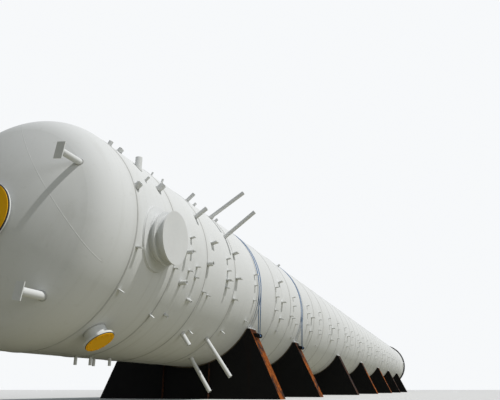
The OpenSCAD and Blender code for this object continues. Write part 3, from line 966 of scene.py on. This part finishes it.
class COLUMN_OT_saddles(bpy.types.Operator):
    """Weld the saddles' plates and fit the rubbing pads on their horns"""

    bl_idname = "column.saddles"
    bl_label = "Saddle welds and pads"
    bl_options = {"REGISTER", "UNDO"}

    def execute(self, context):
        saddles = [part for part in frame["record"]["subparts"] if part["node"].startswith("saddle_")]
        for slot, paint in (("rusty_steel", "rusty_saddle"), ("dark_steel", "black_saddle")):
            bm = bmesh.new()
            for part in saddles:
                if part["material_slot"] == slot:
                    self.web_welds(bm, self.horn(part["node"]))
            add_piece(f"{slot}_welds", bm, paint)

        bm = bmesh.new()
        for part in saddles:
            self.horn_pads(bm, self.horn(part["node"]))
        add_piece("horn_pads", bm, "brushed_paint")
        return {"FINISHED"}

    @staticmethod
    def horn(node):
        """The corner points along the tops of a saddle's horns"""
        points = islands(node)[0].points
        top = max(p.z for p in points)
        return [p for p in points if p.z > top - 0.0005]

    @staticmethod
    def web_welds(bm, horn):
        """Fillets down both sides of each stiffener, on both faces of the web"""
        half_plate, leg, gap, packing, steps = 0.002, 0.0024, 0.003, 0.005, 20
        for x, way in zip(reach_x(horn), (-1, 1)):
            for side in (-1, 1):
                for face in (-1, 1):
                    y = side * sizes().stiffener + face * half_plate
                    length = AXIS_Z - math.sqrt((SHELL_R + packing) ** 2 - y * y) - 2 * gap
                    path = [Vector((x, y, gap + length * k / steps)) for k in range(steps + 1)]
                    normals = [Vector((way, 0, 0))] * len(path)
                    fillet(bm, path, normals, leg, [Vector((0, face, 0))] * len(path), closed=False)

    @staticmethod
    def horn_pads(bm, horn):
        """A rounded pad over the end of each horn"""
        low, high = reach_x(horn)
        top, far = max(p.z for p in horn), max(p.y for p in horn)
        room, steps = 0.008, 8
        near = math.sqrt(SHELL_R ** 2 - (AXIS_Z - top - room) ** 2)
        for side in (-1, 1):
            rows = []
            for k in range(steps + 1):
                share = k / steps - 0.5
                x = (low + high) / 2 + (high - low) * 0.92 * share
                drop = 0.0016 * (2 * share) ** 6
                section = ((near + 0.0008, top + 0.0002), (far + 0.0005, top + 0.0002),
                           (far - 0.0004, top + 0.0055 - drop), (near + 0.0022, top + 0.0072 - drop),
                           (near + 0.0010, top + 0.0040 - drop * 0.5))
                rows.append([bm.verts.new((x, side * y, z)) for y, z in section])
            skin(bm, rows)


class COLUMN_OT_webbing(bpy.types.Operator):
    """Lay woven webbing for the lashing straps"""

    bl_idname = "column.webbing"
    bl_label = "Lashing webbing"
    bl_options = {"REGISTER", "UNDO"}

    def execute(self, context):
        bm = bmesh.new()
        for solid in islands("lashing_straps"):
            low, high = reach_x(solid.points)
            end_z = min(p.z for p in solid.points)
            end_y = max(p.y for p in solid.points if p.z < end_z + 0.004)
            phase = random.Random(round(low * 1000)).uniform(0, 6)
            self.strap(bm, (low + high) / 2, (high - low) / 2, end_y, end_z, phase)
            self.pins(bm, (low + high) / 2, (high - low) / 2, end_y, end_z)
        piece = add_piece("lashing_webbing", bm, "webbing")
        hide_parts("lashing_straps")
        return {"FINISHED"}

    @staticmethod
    def strap(bm, middle, half, end_y, end_z, phase):
        """One strap from its pin over the shell to the pin on the other side, a little uneven"""
        leave, steps, thick = math.radians(92), 180, 0.0015
        over = [across(0, leave - 2 * leave * k / steps, SHELL_R) for k in range(steps + 1)]
        start, end = (Vector((0, side * (end_y - 0.0014), end_z + 0.002)) for side in (1, -1))
        path = [start] + over + [end]
        rings = []
        for i, p in enumerate(path):
            x = middle
            if 0 < i < len(path) - 1:
                x = middle + (0.0022 * math.sin(i * 0.045 + phase) + 0.0008 * math.sin(i * 0.13 + 2 * phase))
            rings.append([bm.verts.new(p + Vector((x + half * a, 0, 0)) + outward(p) * (thick * b + 0.0001))
                          for a, b in WEBBING_SECTION])
        skin(bm, rings)

    @staticmethod
    def pins(bm, middle, half, end_y, end_z):
        """The loops of one strap round its two pins"""
        inner, rim, outer = 0.0031, 0.0044, 0.0047
        profile = [(inner, -0.98), (rim, -1.0), (outer, -0.9), (outer, 0.9), (rim, 1.0), (inner, 0.98)]
        for side in (-1, 1):
            pin = Vector((middle, side * (end_y - 0.0009), end_z - 0.003))
            revolve(bm, pin, TO_SKIRT, [(radius, half * share) for radius, share in profile], 28, closed=True)


class COLUMN_OT_stage(bpy.types.Operator):
    """Set the floor, the lights and the camera"""

    bl_idname = "column.stage"
    bl_label = "Studio"
    bl_options = {"REGISTER", "UNDO"}

    def execute(self, context):
        self.floor(context.scene)
        self.surroundings(context.scene)
        for name, energy, angle, colour, way in LAMPS:
            self.lamp(context.scene, name, energy, angle, colour, way)
        self.camera(context.scene)
        context.scene.view_settings.view_transform = "Standard"
        return {"FINISHED"}

    @staticmethod
    def floor(scene):
        """A wide round floor, pale to the eye, which throws a warmer light on the underside"""
        mesh = bpy.data.meshes.new("floor")
        rim = circle(Vector(), Vector((0, 0, 1)), radius=150, count=128)[0]
        mesh.from_pydata(rim, [], [range(len(rim))])
        floor = bpy.data.objects.new("floor", mesh)
        scene.collection.objects.link(floor)
        f = Finish("floor")
        f.coat(f.mix(f.seen(), (0.305, 0.294, 0.213), (0.76, 0.76, 0.75)), 0.9, 0.1)
        floor.data.materials.append(f.material)

    @staticmethod
    def surroundings(scene):
        """A world that looks white and lights like a soft sky"""
        world = bpy.data.worlds.new("studio")
        world.use_nodes = True
        scene.world = world
        tree = Tree(world.node_tree)
        tree.tree.nodes.remove(tree.tree.nodes["Background"])
        sky = tree.node("ShaderNodeBackground", {}, {"Color": (0.82, 0.90, 1.0, 1), "Strength": 0.24})
        white = tree.node("ShaderNodeBackground", {}, {"Color": (0.93, 0.945, 0.96, 1), "Strength": 1.0})
        mixed = tree.node("ShaderNodeMixShader", {}, {0: tree.seen(), 1: sky, 2: white})
        tree.plug(tree.tree.nodes["World Output"].inputs["Surface"], mixed)

    @staticmethod
    def lamp(scene, name, energy, angle, colour, way):
        """A far lamp that shines along a direction"""
        sun = bpy.data.lights.new(name, "SUN")
        sun.energy = energy
        sun.angle = math.radians(angle)
        sun.color = colour
        lamp = bpy.data.objects.new(name, sun)
        lamp.rotation_euler = Vector(way).to_track_quat("-Z", "Y").to_euler()
        scene.collection.objects.link(lamp)

    @staticmethod
    def camera(scene):
        """The camera at the place and angle of the photo's"""
        camera = bpy.data.cameras.new("photo")
        camera.lens = 38.27
        camera.sensor_width = 36
        camera.clip_start, camera.clip_end = 0.02, 400
        view = bpy.data.objects.new("photo", camera)
        turn = Matrix((CAMERA_RIGHT, CAMERA_UP, -CAMERA_AHEAD)).transposed().to_4x4()
        view.matrix_world = Matrix.Translation(CAMERA_PLACE) @ turn
        scene.collection.objects.link(view)
        scene.camera = view


OPERATORS = (
    COLUMN_OT_finishes,
    COLUMN_OT_seams,
    COLUMN_OT_fillets,
    COLUMN_OT_skirt,
    COLUMN_OT_covers,
    COLUMN_OT_saddles,
    COLUMN_OT_webbing,
    COLUMN_OT_stage,
)


class COLUMN_PT_panel(bpy.types.Panel):
    """The column's pieces, finishes and studio"""

    bl_idname = "COLUMN_PT_panel"
    bl_label = "Distillation Column"
    bl_space_type = "VIEW_3D"
    bl_region_type = "UI"
    bl_category = "Column"

    def draw(self, context):
        layout = self.layout
        for group in (context.scene.column_sizes, context.scene.column_colours):
            box = layout.box()
            for name in group.__annotations__:
                box.prop(group, name)
        for operator in OPERATORS:
            layout.operator(operator.bl_idname)


CLASSES = (ColumnSizes, ColumnColours) + OPERATORS + (COLUMN_PT_panel,)


def register():
    for cls in CLASSES:
        bpy.utils.register_class(cls)
    bpy.types.Scene.column_sizes = PointerProperty(type=ColumnSizes)
    bpy.types.Scene.column_colours = PointerProperty(type=ColumnColours)


def unregister():
    del bpy.types.Scene.column_colours
    del bpy.types.Scene.column_sizes
    for cls in reversed(CLASSES):
        bpy.utils.unregister_class(cls)


def main():
    register()
    for operator in OPERATORS:
        getattr(bpy.ops.column, operator.bl_idname.split(".")[1])()


if __name__ == "__main__":
    main()
